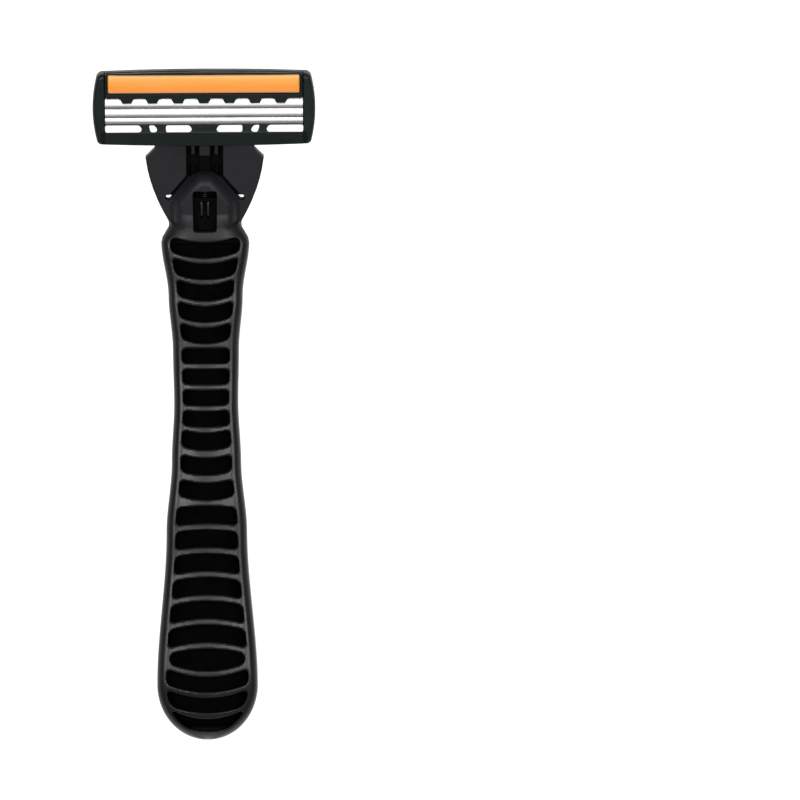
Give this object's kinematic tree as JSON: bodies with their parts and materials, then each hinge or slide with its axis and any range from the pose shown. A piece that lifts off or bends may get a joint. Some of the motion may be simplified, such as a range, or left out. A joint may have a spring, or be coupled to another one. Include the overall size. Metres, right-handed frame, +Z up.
{
  "type": "cartridge razor",
  "caption": "Wet-shaving razor with a ribbed hand grip, a leaning head with flexing arms, a release slider and a spring-returned pivoting blade cartridge with an orange strip.",
  "frame": {"origin": "centre of the razor's footprint on the surface that it lies on, back down", "axes": "+X across the razor, to the right as the blades are looked at, +Y along the handle towards the head, +Z up, out of the side that shaves"},
  "size_m": [0.0414, 0.125, 0.0182],
  "materials": {
    "black_plastic": "satin moulded",
    "button_plastic": "matte moulded",
    "black_rubber": "matte",
    "cartridge_plastic": "satin moulded",
    "orange_strip": "waxy",
    "blade_steel": "ground and polished",
    "spring_steel": "drawn wire",
    "aluminium": "stamped"
  },
  "bodies": {
    "handle": {"handle_front_shell": "black_plastic", "handle_back_shell": "black_plastic", "grip_core": "black_rubber", "head_back_cover": "black_plastic", "slider_spring": "spring_steel", "plunger_spring": "spring_steel"},
    "left_arm": {"left_arm": "black_plastic"},
    "right_arm": {"right_arm": "black_plastic"},
    "slider": {"release_slider": "button_plastic"},
    "plunger": {"plunger": "button_plastic"},
    "saddle": {"cartridge_saddle": "cartridge_plastic"},
    "cartridge": {"cartridge_frame": "cartridge_plastic", "cartridge_cap": "cartridge_plastic", "lubricating_strip": "orange_strip", "blade_front": "blade_steel", "blade_middle": "blade_steel", "blade_rear": "blade_steel", "spacer_front": "aluminium", "spacer_rear": "aluminium"}
  },
  "joints": [
    {"name": "slider_push", "type": "slide", "parent": "handle", "child": "slider", "axis": [0, 0.9703, 0.2419], "range_m": [0, 0.0017], "stiffness_N_per_m": 250, "springref_m": -0.002, "deforming": ["slider_spring"]},
    {"name": "left_arm_flex", "type": "hinge", "parent": "handle", "child": "left_arm", "pos_m": [-0.0082, 0.03911, 0.00687], "axis": [0, 0.2419, -0.9703], "range_deg": [0, 3.5]},
    {"name": "right_arm_flex", "type": "hinge", "parent": "handle", "child": "right_arm", "pos_m": [0.0082, 0.03911, 0.00687], "axis": [0, -0.2419, 0.9703], "range_deg": [0, 3.5]},
    {"name": "cartridge_release", "type": "slide", "parent": "handle", "child": "saddle", "axis": [0, 0.9703, 0.2419], "range_m": [0, 0.015]},
    {"name": "cartridge_pivot", "type": "hinge", "parent": "saddle", "child": "cartridge", "pos_m": [0, 0.04986, 0.01131], "axis": [1, 0, 0], "range_deg": [-40, 0], "stiffness_Nm_per_rad": 0.008, "springref_deg": 20.05},
    {"name": "plunger_slide", "type": "slide", "parent": "handle", "child": "plunger", "axis": [0, -0.9703, -0.2419], "range_m": [0, 0.00155], "deforming": ["plunger_spring"]}
  ],
  "couplings": [
    {"joint": "left_arm_flex", "follows": "slider_push", "rad_per_m": 35},
    {"joint": "right_arm_flex", "follows": "slider_push", "rad_per_m": 35},
    {"joint": "plunger_slide", "follows": "cartridge_pivot", "m_per_rad": -0.00215}
  ]
}
